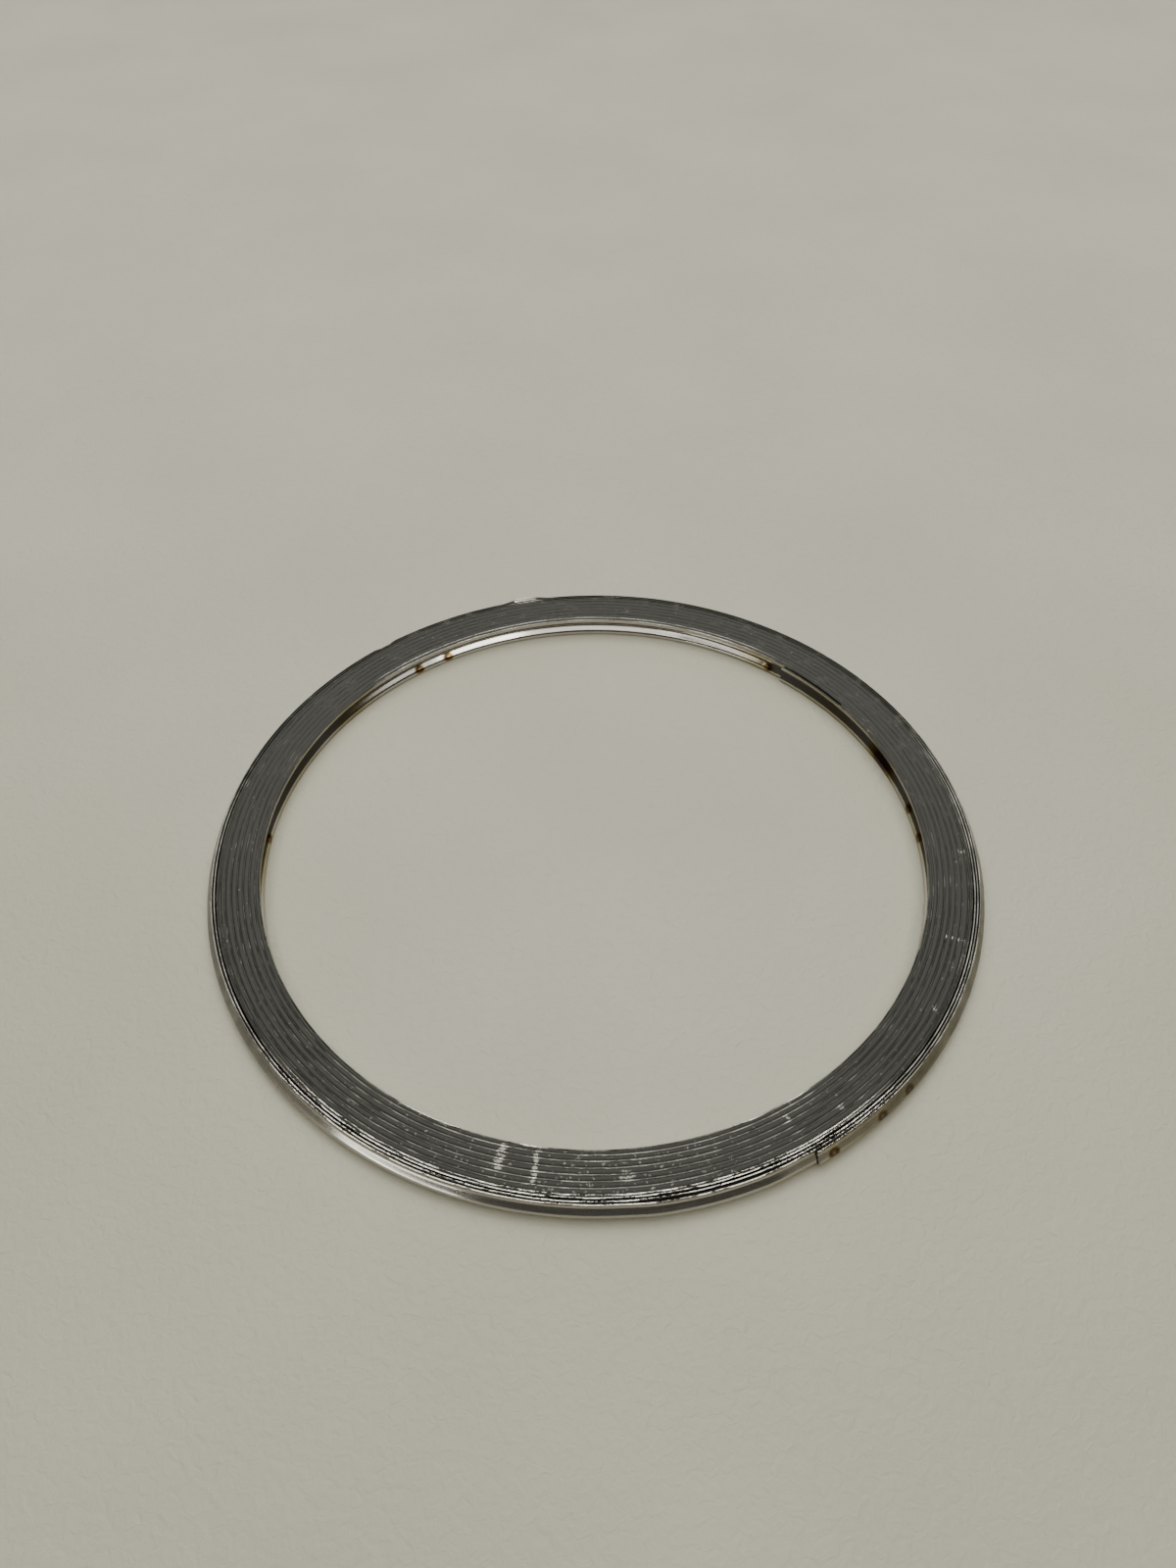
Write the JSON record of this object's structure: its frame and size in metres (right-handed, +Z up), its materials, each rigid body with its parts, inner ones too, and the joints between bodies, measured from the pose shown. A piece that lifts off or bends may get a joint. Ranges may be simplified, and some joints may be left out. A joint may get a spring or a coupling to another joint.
{
  "type": "spiral wound gasket",
  "caption": "Flat ring gasket: a chevron-section steel strip and a graphite strip wound together on edge, plain steel plies at both edges, spot welded ends.",
  "frame": {"origin": "middle of the ring's outline, on its lower face", "axes": "+Z up along the ring's axis; +X and +Y in the plane of the ring, and the outer end of the steel strip lies at 60.6 degrees clockwise from +X"},
  "size_m": [0.1092, 0.109, 0.0032],
  "materials": {
    "steel_strip": "cold rolled stainless strip, sheared edges, heat tinted near the spot welds",
    "graphite": "pressed flexible graphite, dull dark grey",
    "weld": "spot weld, brown heat tint"
  },
  "bodies": {
    "root": {"hoop_strip": "steel_strip", "filler_strip": "graphite", "inner_weld_1": "weld", "inner_weld_2": "weld", "inner_weld_3": "weld", "inner_weld_4": "weld", "inner_weld_5": "weld", "inner_weld_6": "weld", "inner_weld_7": "weld", "outer_weld_1": "weld", "outer_weld_2": "weld", "outer_weld_3": "weld"}
  },
  "joints": []
}
